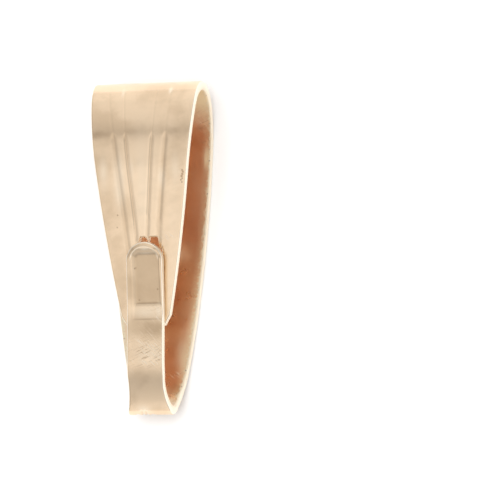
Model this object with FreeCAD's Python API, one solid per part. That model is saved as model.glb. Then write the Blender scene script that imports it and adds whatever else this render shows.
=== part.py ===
import FreeCAD, Part
import math
import os

# Snap bail: one strip of sheet metal, bent round into a closed loop that lies on its long panel.
# X is across the strip, Y runs from the narrow bend (-Y) to the wide fold (+Y), Z is up.
# The origin is the centre of the part's box, at its bottom. All sizes are in millimetres.

# Driving dimensions
sheet = 0.42              # thickness of the strip
flap_rise = 8.8           # slope of the flap towards the fold, in degrees
flap_run = 7.17           # straight length of the flap
panel_flat = 6.50         # flat stretch of the panel, which the bail rests on
tongue_run = 1.75         # straight length from the bend to the kick of the tongue
tongue_end_run = 3.9      # straight length from the kick to the tip
over = 3.0                # how far a cutting solid runs past the strip
cutter_height = 12.0      # of a cutting solid, enough to pass through the whole loop

# Course of the outer surface, from the fold end of the flap round to the kick of the tongue.
# Each arc turns towards the inside of the loop; the kick turns away from it.
# name, radius, turn in degrees
FLAP_ARCS = (
    ("flap_shoulder", 6.88, 25.8),
    ("fold_front", 1.54, 71.4),
)
PANEL_TOP_ARCS = (
    ("fold_back", 1.66, 67.4),
    ("panel_shoulder", 4.31, 24.2),
)
PANEL_LOW_ARCS = (
    ("panel_low", 71.4, 3.0),
    ("bend_shoulder", 3.12, 41.0),
    ("bend_low", 0.60, 46.0),
)
BEND_ARCS = (
    ("bend_high", 0.60, 49.4),
    ("tongue_shoulder", 4.28, 35.0),
)
kick_radius = 8.0
kick_turn = -5.0

# Outlines in plan: half widths at a distance above the lowest point of the bend
fold_half = 2.50
flap_mid_up, flap_mid_half = 10.0, 2.03
flap_end_half = 0.87
flap_end_margin = 0.02    # how far the outline runs past the flap's end
flap_corner_up, flap_corner_half = 4.42, 1.15
panel_mid_up, panel_mid_half = 7.0, 2.11
bend_half = 1.05

# Tongue outline: side edges at a distance above the lowest point of the bend
# up, left edge, right edge
TONGUE_SIDES = (
    (0.0, -1.05, 1.05),
    (0.6, -0.87, 0.89),
    (1.6, -0.81, 0.87),
    (6.7, -0.69, 0.99),
)
tongue_tip_x = 0.19
tongue_tip_up = 7.62

# Grooves in the outer surface: distance across, at heights above the lowest point of the bend
groove_depth = 0.07
FLAP_UPS = (5.4, 12.2, 14.7)
PANEL_UPS = (14.7, 10.6, 6.2, 1.9, 0.4)
# name, width, across at FLAP_UPS, across at PANEL_UPS
GROOVES = (
    ("left_outer", 0.20, (-0.47, -1.23, -1.66), (-1.68, -1.52, -1.13, -0.87, -0.64)),
    ("left_inner", 0.14, (-0.04, -0.70, -0.91), (-0.95, -0.89, -0.70, -0.48, -0.27)),
    ("right_inner", 0.14, (0.00, 0.52, 0.64), (0.67, 0.56, 0.18, -0.12, -0.23)),
    ("right_outer", 0.20, (0.45, 1.15, 1.31), (1.36, 1.16, 0.74, 0.38, 0.09)),
)
tail_up = 0.38            # where the middle groove runs out above the bend, on the tongue

# Window in the flap, and the stamped recess of the tongue whose bump sits in it
window_left, window_right = -0.44, 0.87
window_low, window_high = 4.90, 7.90
window_corner = 0.12
neck_left, neck_right = -0.17, 0.68     # narrower upper end of the window
neck_low, shoulder_low = 7.47, 7.30     # where the neck and its sloping shoulders begin
recess_depth = 0.25
bump_height = 0.24
# left, right, low, high, cut of the upper corners
recess_mouth = (-0.48, 0.91, 4.16, 7.34, 0.30)
recess_floor = (-0.22, 0.81, 4.86, 7.04, 0.20)
bump_foot = (-0.24, 0.70, 5.00, 7.08, 0.24)
bump_top = (-0.16, 0.62, 5.25, 6.90, 0.20)


def heading_vector(degrees):
    angle = math.radians(degrees)
    return FreeCAD.Vector(0, math.cos(angle), math.sin(angle))


def inward(degrees):
    """The direction into the loop for a strip that runs along this heading."""
    return heading_vector(degrees - 90)


class Course:
    """Walks along the outer surface of the strip and keeps the edges of both its faces."""

    def __init__(self, point, heading):
        self.point = point
        self.heading = heading

    def run(self, length):
        start = self.point
        self.point = start + heading_vector(self.heading) * length
        return [(start, self.heading), (self.point, self.heading)]

    def arc(self, radius, turn):
        side = 1 if turn > 0 else -1
        centre = self.point + inward(self.heading) * (side * radius)
        stations = []
        for share in (0, 0.5, 1):
            heading = self.heading - turn * share
            stations.append((centre - inward(heading) * (side * radius), heading))
        self.heading -= turn
        self.point = stations[-1][0]
        return stations


def edge_through(points):
    if len(points) == 2:
        return Part.LineSegment(*points).toShape()
    return Part.Arc(*points).toShape()


def layer(stretches, depth, half):
    """A wall that follows the stretches, from the outer surface to this depth."""
    outer = [edge_through([p for p, heading in s]) for s in stretches]
    inner = [edge_through([p + inward(heading) * depth for p, heading in s]) for s in stretches]
    ends = []
    for point, heading in (stretches[0][0], stretches[-1][-1]):
        ends.append(Part.LineSegment(point, point + inward(heading) * depth).toShape())
    wire = Part.Wire(Part.__sortEdges__(outer + inner + ends))
    face = Part.Face(wire)
    face.translate(FreeCAD.Vector(-half, 0, 0))
    return face.extrude(FreeCAD.Vector(2 * half, 0, 0))


def flat_point(across, up):
    return FreeCAD.Vector(across, base_y + up, -over)


def prism(edges):
    wire = Part.Wire(Part.__sortEdges__(edges))
    return Part.Face(wire).extrude(FreeCAD.Vector(0, 0, cutter_height))


def polygon_prism(points):
    ring = [flat_point(*p) for p in points]
    face = Part.Face(Part.makePolygon(ring + ring[:1]))
    return face.extrude(FreeCAD.Vector(0, 0, cutter_height))


def flap_outline():
    """Tapered outline with a cut-off corner at each side of the flap's end."""
    edges = []
    top = fold_up + over
    end = flap_end_up - flap_end_margin
    for side in (-1, 1):
        fold = flat_point(side * fold_half, fold_up)
        middle = flat_point(side * flap_mid_half, flap_mid_up)
        corner = flat_point(side * flap_corner_half, flap_corner_up)
        low = flat_point(side * flap_end_half, end)
        edges.append(Part.Arc(fold, middle, corner).toShape())
        edges.append(Part.LineSegment(corner, low).toShape())
        edges.append(Part.LineSegment(fold, flat_point(side * fold_half, top)).toShape())
    for half, up in ((flap_end_half, end), (fold_half, top)):
        edges.append(Part.LineSegment(flat_point(-half, up), flat_point(half, up)).toShape())
    return prism(edges)


def panel_outline():
    edges = []
    top = fold_up + over
    for side in (-1, 1):
        fold = flat_point(side * fold_half, fold_up)
        middle = flat_point(side * panel_mid_half, panel_mid_up)
        bend = flat_point(side * bend_half, 0)
        edges.append(Part.Arc(fold, middle, bend).toShape())
        edges.append(Part.LineSegment(fold, flat_point(side * fold_half, top)).toShape())
        edges.append(Part.LineSegment(bend, flat_point(side * bend_half, -over)).toShape())
    for half, up in ((bend_half, -over), (fold_half, top)):
        edges.append(Part.LineSegment(flat_point(-half, up), flat_point(half, up)).toShape())
    return prism(edges)


def tongue_outline():
    edges = []
    low = -over
    for column in (1, 2):
        foot, middle, neck, shoulder = [flat_point(row[column], row[0]) for row in TONGUE_SIDES]
        edges.append(Part.Arc(foot, middle, neck).toShape())
        edges.append(Part.LineSegment(neck, shoulder).toShape())
        edges.append(Part.LineSegment(foot, flat_point(TONGUE_SIDES[0][column], low)).toShape())
    up, left, right = TONGUE_SIDES[-1]
    tip = flat_point(tongue_tip_x, tongue_tip_up)
    edges.append(Part.Arc(flat_point(left, up), tip, flat_point(right, up)).toShape())
    up, left, right = TONGUE_SIDES[0]
    edges.append(Part.LineSegment(flat_point(left, low), flat_point(right, low)).toShape())
    return prism(edges)


def tapered_block(foot, top, height, slope, origin_z):
    """A block that narrows along its height, square to a surface with this slope."""
    wires = []
    for (left, right, low, high, cut), rise in ((foot, 0), (top, height)):
        corners = ((left, low), (right, low), (right, high - cut), (right - cut, high),
                   (left + cut, high), (left, high - cut))
        ring = [FreeCAD.Vector(x, base_y + up, rise) for x, up in corners]
        wires.append(Part.makePolygon(ring + ring[:1]))
    block = Part.makeLoft(wires, True, True)
    pivot = FreeCAD.Vector(0, base_y + recess_mouth[2], 0)
    block.rotate(pivot, FreeCAD.Vector(1, 0, 0), slope)
    block.translate(FreeCAD.Vector(0, 0, origin_z))
    return block


def groove_cutter(skin, ups, across, width):
    """The part of the skin under a narrow band that follows the groove in plan."""
    left = [(x - width / 2, up) for x, up in zip(across, ups)]
    right = [(x + width / 2, up) for x, up in zip(across, ups)]
    return skin.common(polygon_prism(left + right[::-1]))


# The course of the strip, and the height of its lowest and furthest points
course = Course(FreeCAD.Vector(0, 0, 0), flap_rise)
flap = [course.run(flap_run)] + [course.arc(radius, turn) for name, radius, turn in FLAP_ARCS]
panel = [course.arc(radius, turn) for name, radius, turn in PANEL_TOP_ARCS]
panel.append(course.run(panel_flat))
panel += [course.arc(radius, turn) for name, radius, turn in PANEL_LOW_ARCS]
tongue = [course.arc(radius, turn) for name, radius, turn in BEND_ARCS]
tongue.append(course.run(tongue_run))
tongue.append(course.arc(kick_radius, kick_turn))
tongue_slope = course.heading + 360
tongue_kick_point = course.point
tongue.append(course.run(tongue_end_run))

whole = layer(flap + panel, sheet, over)
base_y = whole.BoundBox.YMin
fold_up = whole.BoundBox.YMax - base_y
flap_end_up = -base_y

# The three stretches, each cut to its own outline, and made one
flap_solid = layer(flap, sheet, over).common(flap_outline())
panel_solid = layer(panel, sheet, over).common(panel_outline())
tongue_solid = layer(tongue, sheet, over).common(tongue_outline())

# Window in the flap
window = polygon_prism((
    (window_left + window_corner, window_low), (window_right - window_corner, window_low),
    (window_right, window_low + window_corner), (window_right, shoulder_low),
    (neck_right, neck_low), (neck_right, window_high), (neck_left, window_high), (neck_left, neck_low),
    (window_left, shoulder_low), (window_left, window_low + window_corner),
))
flap_solid = flap_solid.cut(window)

# Stamped recess of the tongue, and its bump on the inside
slope = math.radians(tongue_slope)
along = base_y + recess_mouth[2] - tongue_kick_point.y
surface_z = tongue_kick_point.z + along * math.tan(slope)
inside_z = surface_z - sheet / math.cos(slope)
recess = tapered_block(recess_mouth, recess_floor, -recess_depth, tongue_slope, surface_z)
bump = tapered_block(bump_foot, bump_top, -bump_height, tongue_slope, inside_z)
tongue_solid = tongue_solid.cut(recess).fuse(bump)

# Grooves round the fold, down the panel and down the flap
flap_skin = layer(flap, groove_depth, over)
panel_skin = layer(panel, groove_depth, over)
bend_skin = layer(tongue[:2], groove_depth, over)
past_fold = fold_up + over
for name, width, flap_across, panel_across in GROOVES:
    flap_line = flap_across + flap_across[-1:]
    flap_solid = flap_solid.cut(groove_cutter(flap_skin, FLAP_UPS + (past_fold,), flap_line, width))
    panel_line = panel_across[:1] + panel_across + panel_across[-1:]
    panel_ups = (past_fold,) + PANEL_UPS + (-over,)
    panel_solid = panel_solid.cut(groove_cutter(panel_skin, panel_ups, panel_line, width))
tail_left, tail_right = GROOVES[1][3][-1], GROOVES[2][3][-1]
tail_half = GROOVES[1][1] / 2
tail = polygon_prism(((tail_left - tail_half, -over), (tail_right + tail_half, -over),
                      (tail_right + tail_half, 0), (tail_right, tail_up), (tail_left - tail_half, 0)))
tongue_solid = tongue_solid.cut(bend_skin.common(tail))

bail = flap_solid.fuse([panel_solid, tongue_solid]).removeSplitter()
box = bail.BoundBox
bail.translate(FreeCAD.Vector(-(box.XMin + box.XMax) / 2, -(box.YMin + box.YMax) / 2, -box.ZMin))

os.makedirs("parts", exist_ok=True)
solids = bail.Solids
print("solids", len(solids), "valid", bail.isValid(), "volume", round(bail.Volume, 2))
box = bail.BoundBox
print("box", [round(v, 3) for v in (box.XMin, box.XMax, box.YMin, box.YMax, box.ZMin, box.ZMax)])
print("centre of mass", [round(v, 3) for v in solids[0].CenterOfMass])
solids[0].exportStep("parts/snap_bail.step")
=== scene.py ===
import math

import bpy
import numpy as np
from bpy.props import FloatProperty, FloatVectorProperty, PointerProperty
from mathutils import Matrix, Vector


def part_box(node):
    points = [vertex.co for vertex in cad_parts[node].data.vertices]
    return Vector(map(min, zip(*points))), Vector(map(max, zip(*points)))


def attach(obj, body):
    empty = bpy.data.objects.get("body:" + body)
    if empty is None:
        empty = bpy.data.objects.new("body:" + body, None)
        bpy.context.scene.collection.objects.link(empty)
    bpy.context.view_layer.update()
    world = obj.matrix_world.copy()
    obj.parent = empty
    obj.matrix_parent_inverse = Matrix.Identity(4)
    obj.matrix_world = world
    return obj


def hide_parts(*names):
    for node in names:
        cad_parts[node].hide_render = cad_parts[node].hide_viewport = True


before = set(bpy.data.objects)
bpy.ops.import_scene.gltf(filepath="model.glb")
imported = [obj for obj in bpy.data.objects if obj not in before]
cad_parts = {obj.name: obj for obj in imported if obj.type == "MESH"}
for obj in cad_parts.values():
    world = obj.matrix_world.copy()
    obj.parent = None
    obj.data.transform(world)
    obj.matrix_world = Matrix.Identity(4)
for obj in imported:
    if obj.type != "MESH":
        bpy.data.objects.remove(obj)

bl_info = {
    "name": "Snap bail",
    "version": (1, 0, 0),
    "blender": (4, 5, 0),
    "location": "3D View > Sidebar > Snap bail",
    "description": "A one-piece bent strip bail in polished rose gold tone, and its stage",
    "category": "Add Mesh",
}

MM = 0.001
PIECE = "bail_strip"
CAD_NODE = "snap_bail"
BODY = "root"

# Course of the outer surface, from the end of the flap to the tip of the tongue.
# A radius of 0 is a straight run, and its third value is a length instead of a turn.
# name, radius in mm, turn in degrees or length in mm, step between rows in mm
COURSE = (
    ("flap_run", 0, 7.17, 0.10),
    ("flap_shoulder", 6.88, 25.8, 0.08),
    ("fold_front", 1.54, 71.4, 0.05),
    ("fold_back", 1.66, 67.4, 0.06),
    ("panel_shoulder", 4.31, 24.2, 0.10),
    ("panel_flat", 0, 6.50, 0.22),
    ("panel_low", 71.4, 3.0, 0.16),
    ("bend_shoulder", 3.12, 41.0, 0.08),
    ("bend_low", 0.60, 46.0, 0.04),
    ("bend_high", 0.60, 49.4, 0.035),
    ("tongue_shoulder", 4.28, 35.0, 0.07),
    ("tongue_run", 0, 1.75, 0.07),
    ("kick", 8.0, -5.0, 0.05),
    ("tongue_end", 0, 3.9, 0.05),
)
FOLD_AFTER = "fold_front"
BEND_AFTER = "bend_low"

# Outlines in plan: half widths in mm at a distance above the lowest point of the bend
FLAP_CORNER = (4.42, 1.15)
FLAP_MIDDLE = (10.0, 2.03)
FLAP_END_HALF = 0.87
FOLD_HALF = 2.50
PANEL_MIDDLE = (7.0, 2.11)
BEND_HALF = 1.05
# up, left edge, right edge
TONGUE_SIDES = (
    (0.0, -1.05, 1.05),
    (0.6, -0.87, 0.89),
    (1.6, -0.81, 0.87),
    (6.7, -0.69, 0.99),
)
TONGUE_TIP = (7.62, 0.19)

# Grooves: width in mm, and distance across at heights above the lowest point of the bend
FLAP_UPS = (5.4, 12.2, 14.7)
PANEL_UPS = (14.7, 10.6, 6.2, 1.9, 0.4)
GROOVES = (
    (0.20, (-0.47, -1.23, -1.66), (-1.68, -1.52, -1.13, -0.87, -0.64)),
    (0.14, (-0.04, -0.70, -0.91), (-0.95, -0.89, -0.70, -0.50, -0.36)),
    (0.14, (0.00, 0.52, 0.64), (0.67, 0.56, 0.18, -0.10, -0.18)),
    (0.20, (0.45, 1.15, 1.31), (1.36, 1.16, 0.74, 0.38, 0.09)),
)
TAIL_LENGTH = (0.05, 0.35, 0.35, 0.05)    # of each groove past the bend
GROOVE_END_RUN = 0.25                     # length in which a groove's end fades, for each groove width
LINE_SOFTNESS = 0.45                      # length in which the grooves' kinks are softened
# Grooves are shallower over the fold: loss, height and run of its start, and when and how it ends
FOLD_LOSS = (0.56, 12.35, 0.35, 1.3, 2.4)

# Window of the flap: left, right, low, high
WINDOW = (-0.44, 0.87, 4.90, 7.90)
# Narrower neck at its upper end: left, right, length, width of the slope at each side
WINDOW_NECK = (-0.17, 0.68, 0.55, 0.07)
# Tooth between the two groove ends in the window's upper edge: across, half width, length
TOOTH = (0.20, 0.035, 0.30)
# How far the neck's shift of the rows is felt: beside it, above it on the outer and inner side, below it
NECK_BESIDE = 0.12
NECK_ABOVE_OUTER, NECK_ABOVE_INNER = 0.75, 0.2
NECK_BELOW = 1.3
# The columns that follow the window ease off above it: distance of the end, run
WINDOW_EASE = (1.1, 0.9)
# Recess of the tongue at its mouth and its floor: left, right, low, high, cut of the upper corners
RECESS_MOUTH = (-0.48, 0.96, 3.0, 7.37, 0.26)
RECESS_FLOOR = (-0.21, 0.81, 3.2, 7.05, 0.12)
# Ramp at the recess's lower end: up, share of the depth
RECESS_RAMP = ((4.16, 0.0), (4.25, 0.16), (4.80, 0.42), (4.92, 1.0))
# Heights of the close rows over the ramp of the recess
RAMP_ROWS = (
    4.08, 4.12, 4.15, 4.18, 4.21, 4.24, 4.27, 4.32, 4.38, 4.44, 4.50, 4.56,
    4.62, 4.68, 4.74, 4.79, 4.82, 4.85, 4.88, 4.90, 4.92, 4.95, 5.00,
)
# Bump behind the recess: left, right, low, high, cut of the upper corners
BUMP_FOOT = (-0.24, 0.70, 5.00, 7.08, 0.24)
BUMP_TOP = (-0.16, 0.62, 5.25, 6.90, 0.20)

# Small pits of the surface: across, up, side (1 flap, 2 tongue), radius in mm
PITS = (
    (1.94, 10.86, 1, 0.07),
    (1.97, 10.79, 1, 0.08),
    (1.94, 10.69, 1, 0.09),
    (1.91, 10.60, 1, 0.09),
    (1.93, 10.50, 1, 0.06),
    (1.87, 10.43, 1, 0.06),
    (1.91, 10.33, 1, 0.05),
    (-1.15, 8.93, 1, 0.05),
    (-1.19, 8.38, 1, 0.04),
    (-0.29, 6.47, 2, 0.05),
    (-0.24, 6.50, 2, 0.04),
    (0.72, 5.53, 2, 0.06),
    (-0.15, 5.06, 2, 0.05),
)
# How much a distance in height counts against one in plan, so that a pit also marks a recess's floor
PIT_HEIGHT_SHARE = 0.15

# Painted shade and darker reflections: soft dark patches on the flap and tongue, the dark band below the fold,
# and thin dark lines at the creases and walls of the tongue's recess: side, across, up, half width, half
# height, strength
SHADES = (
    (1, -1.80, 9.5, 0.55, 3.0, 0.34),
    (1, 1.75, 11.0, 0.40, 2.0, 0.20),
    (1, -2.00, 12.56, 0.60, 0.20, 0.50),
    (1, 1.50, 12.65, 0.60, 0.20, 0.30),
    (1, -0.1, 12.65, 0.7, 0.18, 0.30),
    (1, -1.1, 5.3, 0.5, 1.2, 0.30),
    (2, 0.10, 3.78, 1.4, 0.44, 0.75),
    (2, 0.30, 4.91, 0.60, 0.040, 0.55),
    (2, 0.20, 4.20, 0.72, 0.035, 0.85),
    (2, -0.52, 6.0, 0.16, 1.2, 0.45),
    (2, 0.89, 5.6, 0.06, 1.1, 0.35),
)
# Painted highlights and brighter reflections on the flap, over the fold, on the ramp and tip of the tongue, at
# the bend and on the tongue's scuffed patch: side, across, up, half width, half height, strength
PAINTED_HIGHLIGHTS = (
    (1, 0.05, 10.0, 0.40, 2.4, 0.45),
    (1, 0.65, 10.3, 0.25, 1.8, 0.25),
    (1, -1.02, 10.5, 0.22, 1.0, 1.00),
    (1, -1.75, 10.8, 0.20, 0.7, 0.55),
    (1, -0.45, 10.9, 0.18, 0.6, 0.45),
    (1, 0.95, 10.5, 0.15, 0.5, 0.80),
    (1, 1.62, 10.9, 0.22, 0.7, 0.45),
    (1, 1.45, 8.7, 0.40, 1.6, 0.20),
    (1, -0.97, 14.57, 0.06, 0.18, 1.00),
    (1, 1.25, 14.61, 0.07, 0.14, 1.00),
    (2, 0.20, 4.54, 0.60, 0.25, 0.60),
    (2, 0.75, 4.56, 0.16, 0.24, 0.90),
    (2, 0.22, 7.33, 0.19, 0.06, 1.0),
    (2, 0.25, 7.13, 0.34, 0.035, 0.70),
    (2, -0.25, 0.22, 0.26, 0.16, 0.90),
    (2, 0.35, 2.62, 0.7, 0.45, 0.45),
)
# Scuffed places with more scratches: side, across, up, half width, half height, strength
SCUFFS = (
    (2, 0.30, 2.70, 0.8, 0.60, 1.3),
    (2, 0.70, 4.50, 0.3, 0.30, 0.8),
    (1, 1.55, 10.6, 0.4, 0.5, 0.30),
    (1, 1.15, 7.95, 0.4, 0.15, 0.6),
)
# Painted light inside the loop, a tan reflection under the fold, an orange highlight and broader lighter
# reflections lower down: across, up, half width, half height, strength
PAINTED_INNER_LIGHTS = (
    (2.1, 14.8, 1.4, 1.25, 1.0),
    (2.27, 11.85, 0.16, 0.55, 1.0),
    (1.9, 10.8, 0.8, 2.2, 0.20),
    (1.25, 2.7, 0.35, 0.8, 0.55),
)
# Half length of the paler crease inside the bend, which takes the colours of the rim inside the loop, measured
# on the outer surface
BEND_LIGHT = 0.62
# Darker places inside the loop, the first a painted shade of the inside seen through the window, the second a
# narrow darker line under the fold, then scratched places: across, up, half width, half height, strength
INNER_SHADES = (
    (-0.95, 8.10, 0.30, 0.30, 0.25),
    (2.05, 13.35, 0.30, 0.10, 0.30),
)
INNER_SCUFFS = (
    (2.1, 13.6, 0.35, 0.45, 1.0),
    (1.0, 1.8, 0.45, 0.12, 1.0),
    (2.2, 12.6, 0.20, 0.4, 0.6),
)
# Rolled edge of the tongue's tip: width in mm, slope
TIP_ROLL = (0.16, 0.65)
TIP_ROLL_START = (6.85, 0.3)           # height and run
TIP_ROLL_LEFT = (0.45, -0.55, 0.4)     # share of it that is left at the left side, place and run of the change
# Its painted light and shade: start and run, then the darker band of painted shade, and the painted highlight
# line along its inner border
TIP_PAINTED_LIGHT_START = (6.75, 0.3)
TIP_SHADE = (0.30, 0.04)               # strength, softness
TIP_LINE = (0.19, 0.03, 0.9)           # distance from the edge, softness, strength
PATCH_FALL = 0.9                       # how fast a soft patch fades from its middle

# Patterns of the finish: scale, low and high limit of the noise
FLECKS = (5200.0, 0.60, 0.72)
CLOUDS = (620.0, 0.42, 0.66)
GRAIN = (2600.0, 0.35, 0.75)
RAGS = (8000.0, 0.35, 0.65)
# Scratches: stretch of their noise for each metre, its peaks, and angle and density of the two sets
SCRATCH_STRETCH = (22000, 2200, 2200)
SCRATCH_PEAKS = (0.56, 0.70)
SCRATCH_SETS = ((-0.75, 1.0), (1.15, 0.8))
# Gain and base of masks: the scuffs' scratches, the patches' ragged borders, the painted pale light of the rim
# inside the loop and its ragged border, and the same for the painted golden light beside that rim
SCUFF_AMOUNT = (1.8, 0.06)
PATCH_RAGS = (0.5, 0.75)
RIM_REACH, RIM_RAGS = (-7.0, 1.1), (1.2, -0.6)
GOLDEN_LIGHT_REACH, GOLDEN_LIGHT_RAGS = (-2.6, 1.15), (0.35, 0.65)
# Strength of the darker floor of the recess, and the share of the depth where it starts
RECESS_SHADE, RECESS_SHADE_START = 0.66, 0.45
RIM_FLECKS = 0.6
CROSS_STRENGTH, FINE_STRENGTH = 0.45, 0.8
PIT_STRENGTH = 0.85
EDGE_BAND = 0.07                       # width of the paler cut edge, in mm
# What each mask adds to the roughness
ROUGH_SCRATCHES, ROUGH_GRAIN, ROUGH_EDGE = 0.12, 0.05, 0.12
ROUGH_INSIDE, ROUGH_INSIDE_LIGHT = 0.10, 0.38
# What each mask adds to the fine relief, and how much of it the inside loses
RELIEF_GRAIN, RELIEF_SCRATCHES, RELIEF_PITS, RELIEF_INSIDE = 0.12, -0.5, -1.5, -0.85
RELIEF_DISTANCE = 0.00001              # in metres

EDGE_OFFSETS = (0.0, 0.1, 0.3, 0.6, 1.0, 1.6)      # of the edge radius, from the edge inwards
GROOVE_OFFSETS = (-1.3, -0.8, -0.55, -0.3, -0.12, 0.12, 0.3, 0.55, 0.8, 1.3)    # of a groove's width
# Counts of columns: before, between and after the grooves, in the window, and on the inner side
BETWEEN_GROOVES = (9, 6, 12, 6, 10)
WINDOW_COLUMNS = 22
INNER_COLUMNS = 49
# Shares of the width that hold the grooves' columns: least, most, and room for each groove
GROOVE_ROOM = (0.06, 0.94, 0.17)
CLUSTER_SHARE = 0.36                   # of the gap to the next groove that a groove's columns take
NARROW = (0.9, 0.5)                    # width below which the columns are even, run of the change
WINDOW_ROOM = 2.3                      # of the edge's columns, kept between the window's and the edge's
TIP_ROWS = 22
TIP_LAST_SHARE = 0.035                 # of the tip's angle, where its last row lies
CLEAR_OF_END = 1.8                     # of the edge radius, kept free of other rows at the flap's end
CLEAR_OF_WINDOW = 0.13                 # distance that other rows keep from the window's edge rows
CLEAR_OF_ROWS = 0.02                   # the same at the ramp and at the tip
COURSE_STEP = 0.02                     # in mm
LINE_SAMPLES, LINE_REACH = 1600, 60    # of the grooves' lines while they are softened
FAR = 9.0                              # stands for no edge or groove near


def smooth(value):
    value = np.clip(value, 0.0, 1.0)
    return value * value * (3 - 2 * value)


def circle_through(points):
    """Centre and radius of the circle through three plan points, each (up, across)."""
    (u0, x0), (u1, x1), (u2, x2) = points
    sides = np.array([[x1 - x0, u1 - u0], [x2 - x0, u2 - u0]]) * 2
    squares = np.array([x1**2 - x0**2 + u1**2 - u0**2, x2**2 - x0**2 + u2**2 - u0**2])
    centre = np.linalg.solve(sides, squares)
    return centre, math.hypot(x0 - centre[0], u0 - centre[1])


def arc_edge(points, ups):
    """Distance across at these heights on the arc through three plan points."""
    centre, radius = circle_through(points)
    side = np.sign(points[1][1] - centre[0])
    return centre[0] + side * np.sqrt(np.maximum(radius**2 - (ups - centre[1]) ** 2, 0))


class Course:
    """The outer surface's line: stations with length, place and heading, in mm."""

    def __init__(self, rise):
        self.points = []
        self.ends = {}
        self.rows = []
        y, z, heading, length = 0.0, 0.0, math.radians(rise), 0.0
        for name, radius, value, step in COURSE:
            whole = value if radius == 0 else abs(math.radians(value)) * radius
            turn = 0.0 if radius == 0 else math.radians(value)
            steps = max(1, round(whole / step))
            self.rows.extend(length + whole * k / steps for k in range(steps))
            count = max(4, round(whole / COURSE_STEP))
            chord = whole / count if radius == 0 else 2 * radius * math.sin(abs(turn) / count / 2)
            for k in range(count):
                self.points.append((length + whole * k / count, y, z, heading))
                middle = heading - turn / count / 2
                y += chord * math.cos(middle)
                z += chord * math.sin(middle)
                heading -= turn / count
            length += whole
            self.ends[name] = length
        self.points.append((length, y, z, heading))
        self.table = np.array(self.points)
        self.whole = length
        self.fold = self.ends[FOLD_AFTER]
        self.bend = self.ends[BEND_AFTER]
        self.base = self.table[self.table[:, 0] <= self.bend + 0.1][:, 1].min()
        self.z_low = self.table[:, 2].min()
        self.y_high = self.table[:, 1].max()

    def up(self, lengths):
        return np.interp(lengths, self.table[:, 0], self.table[:, 1]) - self.base

    def length_at(self, up, start, stop):
        """Length along the course where a stretch reaches this height."""
        part = self.table[(self.table[:, 0] >= start) & (self.table[:, 0] <= stop)]
        ups = part[:, 1] - self.base
        order = np.argsort(ups)
        return float(np.interp(up, ups[order], part[order, 0]))


def outline(course, lengths):
    """Left and right edge at each length, following the flap, the panel and the tongue."""
    ups = course.up(lengths)
    fold_up = course.y_high - course.base
    flap = arc_edge(((fold_up, FOLD_HALF), FLAP_MIDDLE, FLAP_CORNER), np.maximum(ups, FLAP_CORNER[0]))
    low = np.interp(ups, (course.up(0.0), FLAP_CORNER[0]), (FLAP_END_HALF, FLAP_CORNER[1]))
    flap = np.where(ups < FLAP_CORNER[0], low, flap)
    panel = arc_edge(((fold_up, FOLD_HALF), PANEL_MIDDLE, (0.0, BEND_HALF)), ups)
    edges = []
    for column, side in ((1, -1), (2, 1)):
        rows = [(row[0], row[column]) for row in TONGUE_SIDES]
        foot = arc_edge(rows[:3], np.minimum(ups, rows[2][0]))
        straight = np.interp(ups, (rows[2][0], rows[3][0]), (rows[2][1], rows[3][1]))
        tongue = np.where(ups < rows[2][0], foot, straight)
        tip = arc_edge_tip(ups, side)
        tongue = np.where(ups > rows[3][0], tip, tongue)
        edge = np.where(lengths <= course.fold, side * flap, side * panel)
        edges.append(np.where(lengths > course.bend, tongue, edge))
    return edges[0], edges[1]


def tip_circle():
    up, left, right = TONGUE_SIDES[-1]
    return circle_through(((up, left), TONGUE_TIP, (up, right)))


def arc_edge_tip(ups, side):
    centre, radius = tip_circle()
    return centre[0] + side * np.sqrt(np.maximum(radius**2 - (ups - centre[1]) ** 2, 0))


def groove_lines(course, lengths):
    """Distance across of each groove at each length, with softened kinks."""
    fine = np.linspace(0, course.whole, LINE_SAMPLES)
    steps = np.arange(-LINE_REACH, LINE_REACH + 1)
    kernel = np.exp(-0.5 * (steps * (fine[1] - fine[0]) / LINE_SOFTNESS) ** 2)
    kernel /= kernel.sum()
    lines = []
    for _, on_flap, on_panel in GROOVES:
        knots = [(course.length_at(up, 0, course.fold), x) for up, x in zip(FLAP_UPS, on_flap)]
        knots += [(course.length_at(up, course.fold, course.bend), x) for up, x in zip(PANEL_UPS, on_panel)]
        slope = (knots[1][1] - knots[0][1]) / (knots[1][0] - knots[0][0])
        knots.insert(0, (0.0, knots[0][1] - slope * knots[0][0]))
        line = np.interp(fine, *zip(*knots))
        padded = np.pad(line, LINE_REACH, "edge")
        lines.append(np.interp(lengths, fine, np.convolve(padded, kernel, "valid")))
    return lines


def block_share(across, up, foot, top):
    """0 outside the foot of a tapered block and 1 on its top, by the nearest side."""
    shares = [
        (across - foot[0]) / (top[0] - foot[0]),
        (foot[1] - across) / (foot[1] - top[1]),
        (up - foot[2]) / (top[2] - foot[2]),
        (foot[3] - up) / (foot[3] - top[3]),
    ]
    for side, edge in ((-1, 0), (1, 1)):
        cut_foot = side * foot[edge] + foot[3] - foot[4]
        cut_top = side * top[edge] + top[3] - top[4]
        shares.append((cut_foot - (side * across + up)) / (cut_foot - cut_top))
    return np.clip(np.minimum.reduce(shares), 0, 1)


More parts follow.
